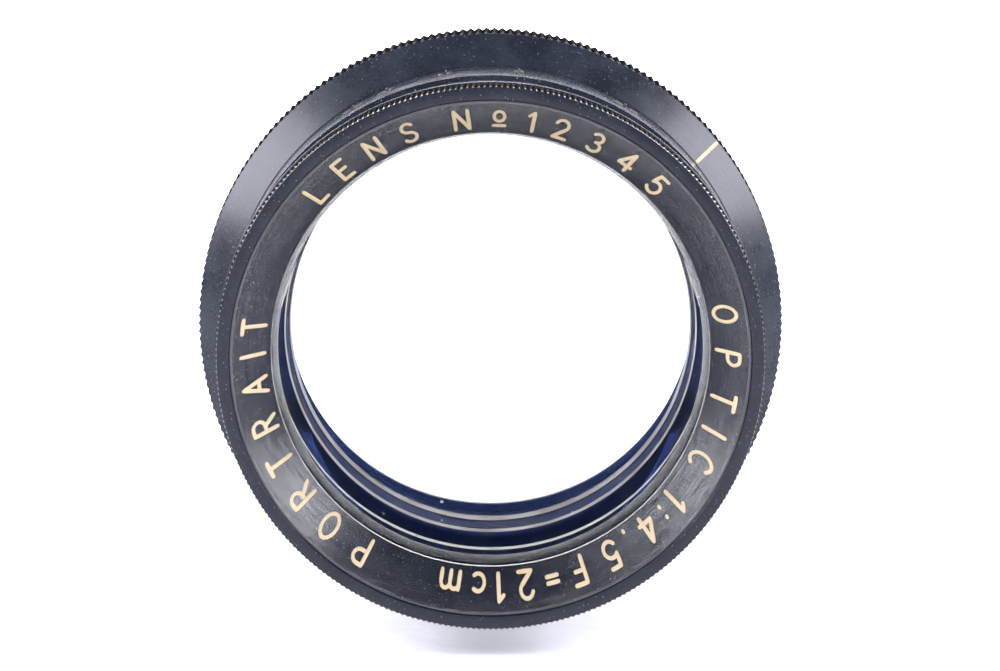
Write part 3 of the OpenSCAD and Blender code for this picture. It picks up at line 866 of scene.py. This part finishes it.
class LENS_OT_glasses(LensOperator):
    """The four glasses of the lens: two single ones and a cemented pair"""

    bl_idname = "lens.glasses"
    bl_label = "Glasses"

    def make(self, sizes, colours):
        flat = 1.5 * MM
        front, second = "front_element", "second_element"
        negative, positive = "rear_negative_element", "rear_positive_element"
        r = reach(front)
        self.element(
            "front_glass", front, "front_glass", 1.62,
            self.curve(front_of(front), sizes.front_curve, r), [(r, back_of(front)), (0, back_of(front))],
        )
        r = reach(second)
        vertex = front_of(second) - sag(sizes.second_front_curve, r)
        hollow = back_of(second) + sag(sizes.second_rear_curve, r - flat)
        rear = self.curve(hollow, -sizes.second_rear_curve, r - flat, up=False)
        self.element(
            "second_glass", second, "second_glass", 1.6,
            self.curve(vertex, -sizes.second_front_curve, r), [(r, back_of(second))] + rear[::-1],
        )
        r = reach(negative)
        vertex = front_of(negative) - sag(sizes.rear_front_curve, r)
        joint = back_of(negative) + sag(sizes.cement_curve, r)
        self.element(
            "doublet_front_glass", negative, "rear_negative_glass", 1.55,
            self.curve(vertex, -sizes.rear_front_curve, r),
            self.curve(joint, -sizes.cement_curve, r, up=False)[::-1],
        )
        self.element(
            "doublet_rear_glass", positive, "rear_positive_glass", 1.62,
            self.curve(front_of(positive), sizes.cement_curve, r),
            self.curve(back_of(positive), -sizes.rear_curve, r)[::-1],
        )

    @staticmethod
    def curve(vertex, bend, r, up=True, steps=40):
        """A spherical face from the axis out to radius r. It falls back from its vertex if bend > 0."""
        sign = -1 if bend > 0 else 1
        return [(r * k / steps, vertex + sign * sag(abs(bend), r * k / steps) * (1 if up else -1))
                for k in range(steps + 1)]

    @staticmethod
    def element(name, node, slot, index, front, rear):
        glass = turned(name, front + rear)
        fitted(glass, glass_finish(slot, index), BARREL, slot, node)
        glass.data.materials.append(matt_finish(slot + "_edge"))
        rim = 0.97 * reach(node)
        for face in glass.data.polygons:
            if abs(face.normal.y) < 0.3 and math.hypot(face.center.x, face.center.z) > rim:
                face.material_index = 1


class LENS_OT_inside(LensOperator):
    """Finishes of the barrel, the collar, the rear cell, the iris and the inner rings"""

    bl_idname = "lens.inside"
    bl_label = "Barrel, iris and inner rings"

    def make(self, sizes, colours):
        collar = reach("seat_collar")
        edges = [(collar - 0.2 * MM, front_of("seat_collar") - 0.2 * MM, 0.3 * MM, 0.3)]
        repaint(lacquer_finish("collar_lacquer", edges), "seat_collar")
        repaint(lacquer_finish("barrel_lacquer", dust=1.2), "barrel")
        rear = reach("rear_cell")
        edges = [(rear - 0.3 * MM, back_of("rear_cell") + 0.2 * MM, 0.4 * MM, 0.35)]
        repaint(lacquer_finish("rear_cell_lacquer", edges, crest=rear - 0.12 * MM), "rear_cell")
        repaint(matt_finish("inner_ring_black"), "second_element_ring", "rear_element_ring", "iris_ring")
        repaint(
            metal_finish("iris_brass", (0.06, 0.052, 0.045), (0.11, 0.08, 0.05), 0.38),
            "iris_rotor", "iris_stud_plate",
        )
        steel = tuple(colours.steel)
        repaint(metal_finish("screw_steel", steel, (0.05, 0.045, 0.06), 0.3), "collar_screws", "drive_screw")
        blades = [n for n in frame["nodes"] if n.startswith("iris_blade_") and "pins" not in n]
        repaint(metal_finish("blade_steel", (0.05, 0.055, 0.075), (0.085, 0.075, 0.07), 0.34), *blades)
        pins = [n for n in frame["nodes"] if n.startswith("iris_blade_pins_")]
        repaint(metal_finish("pin_brass", tuple(colours.brass), (0.4, 0.25, 0.1), 0.32), *pins)


class LENS_OT_stage(LensOperator):
    """A plain pale floor, soft lights and the camera"""

    bl_idname = "lens.stage"
    bl_label = "Stage"

    def make(self, sizes, colours):
        self.floor(colours)
        self.lights()
        self.camera()

    @staticmethod
    def floor(colours):
        """A floor that curves up into a backdrop behind the lens."""
        ground = CAD_BOX[0].z
        half_width, near, far, bend, tall = 1.6, -1.2, 0.9, 0.4, 1.3
        bm = bmesh.new()
        line = [(near, 0), (far, 0)]
        turns = [math.radians(90 * k / 12) for k in range(1, 13)]
        line += [(far + bend * math.sin(t), bend - bend * math.cos(t)) for t in turns]
        line.append((far + bend, tall))
        edge = [bm.verts.new((-half_width, y, ground + z)) for y, z in line]
        edges = [bm.edges.new(pair) for pair in zip(edge, edge[1:])]
        made = bmesh.ops.extrude_edge_only(bm, edges=edges)["geom"]
        moved = [v for v in made if isinstance(v, bmesh.types.BMVert)]
        bmesh.ops.translate(bm, vec=(2 * half_width, 0, 0), verts=moved)
        bmesh.ops.recalc_face_normals(bm, faces=bm.faces)
        floor = solid("floor", bm)
        f = Finish("pale_floor")
        cloth = f.noise(420, 3).ramp(0.3, 0.7)
        base = f.mix(cloth * 0.25, tuple(colours.floor), tuple(0.93 * c for c in colours.floor))
        shader = f.surface({
            "Base Color": base, "Roughness": 0.75 + cloth * 0.1, "Normal": f.bump(cloth, 0.15 * MM, 0.25)
        })
        floor.data.materials.append(f.finish(shader))

    def lights(self):
        world = bpy.data.worlds.new("studio")
        world.use_nodes = True
        background = world.node_tree.nodes["Background"]
        background.inputs["Color"].default_value = (0.55, 0.65, 0.9, 1)
        background.inputs["Strength"].default_value = 0.45
        bpy.context.scene.world = world
        self.light("soft_left", (-0.64, -0.26, 0.34), (0.5, 0.34), 13.5, (0.92, 0.92, 1.0))
        self.light("soft_right", (0.64, -0.26, 0.34), (0.5, 0.34), 13.5, (0.92, 0.92, 1.0))
        self.light("back_left", (-0.5, 0.45, 0.6), (0.5, 0.5), 26.0, (1, 1, 1), aim=(0.1, 1.2, 0.15))
        self.light("back_right", (0.5, 0.45, 0.6), (0.5, 0.5), 26.0, (1, 1, 1), aim=(-0.1, 1.2, 0.15))

    @staticmethod
    def light(name, place, size, watts, tint, aim=(0, 0, 0)):
        data = bpy.data.lights.new(name, "AREA")
        data.shape = "RECTANGLE"
        data.size, data.size_y = size
        data.energy, data.color = watts, tint
        lamp = bpy.data.objects.new(name, data)
        lamp.location = place
        lamp.rotation_euler = (Vector(aim) - Vector(place)).to_track_quat("-Z", "Y").to_euler()
        bpy.context.scene.collection.objects.link(lamp)

    @staticmethod
    def camera():
        """Looks down at the lens from in front of it."""
        tilt, distance = math.radians(9.3), 0.5
        data = bpy.data.cameras.new("camera")
        data.lens, data.sensor_width = 160.2, 36
        data.shift_x, data.shift_y = 0.0095, 0.0252
        data.clip_start, data.clip_end = 0.01, 20
        camera = bpy.data.objects.new("camera", data)
        face = Vector((0, -front_of("front_cell"), 0))
        camera.location = face + distance * Vector((0, -math.cos(tilt), math.sin(tilt)))
        camera.rotation_euler = (math.pi / 2 - tilt, 0, 0)
        bpy.context.scene.collection.objects.link(camera)
        bpy.context.scene.camera = camera
        bpy.context.scene.view_settings.view_transform = "Standard"


OPERATORS = (
    LENS_OT_bezel, LENS_OT_name_ring, LENS_OT_engraving, LENS_OT_aperture_ring, LENS_OT_marks,
    LENS_OT_glasses, LENS_OT_inside, LENS_OT_stage,
)


class LENS_PT_panel(bpy.types.Panel):
    """Lists the steps that make the lens"""

    bl_idname = "LENS_PT_panel"
    bl_label = "Barrel portrait lens"
    bl_space_type = "VIEW_3D"
    bl_region_type = "UI"
    bl_category = "Lens"

    def draw(self, context):
        for operator in OPERATORS:
            self.layout.operator(operator.bl_idname)
        for group in (context.scene.lens_sizes, context.scene.lens_colours):
            for name in group.__annotations__:
                self.layout.prop(group, name)


CLASSES = (LensSizes, LensColours, *OPERATORS, LENS_PT_panel)


def register():
    for made in CLASSES:
        bpy.utils.register_class(made)
    bpy.types.Scene.lens_sizes = PointerProperty(type=LensSizes)
    bpy.types.Scene.lens_colours = PointerProperty(type=LensColours)


def unregister():
    del bpy.types.Scene.lens_sizes
    del bpy.types.Scene.lens_colours
    for made in reversed(CLASSES):
        bpy.utils.unregister_class(made)


def main():
    register()
    for operator in OPERATORS:
        group, name = operator.bl_idname.split(".")
        getattr(getattr(bpy.ops, group), name)()


if __name__ == "__main__":
    main()
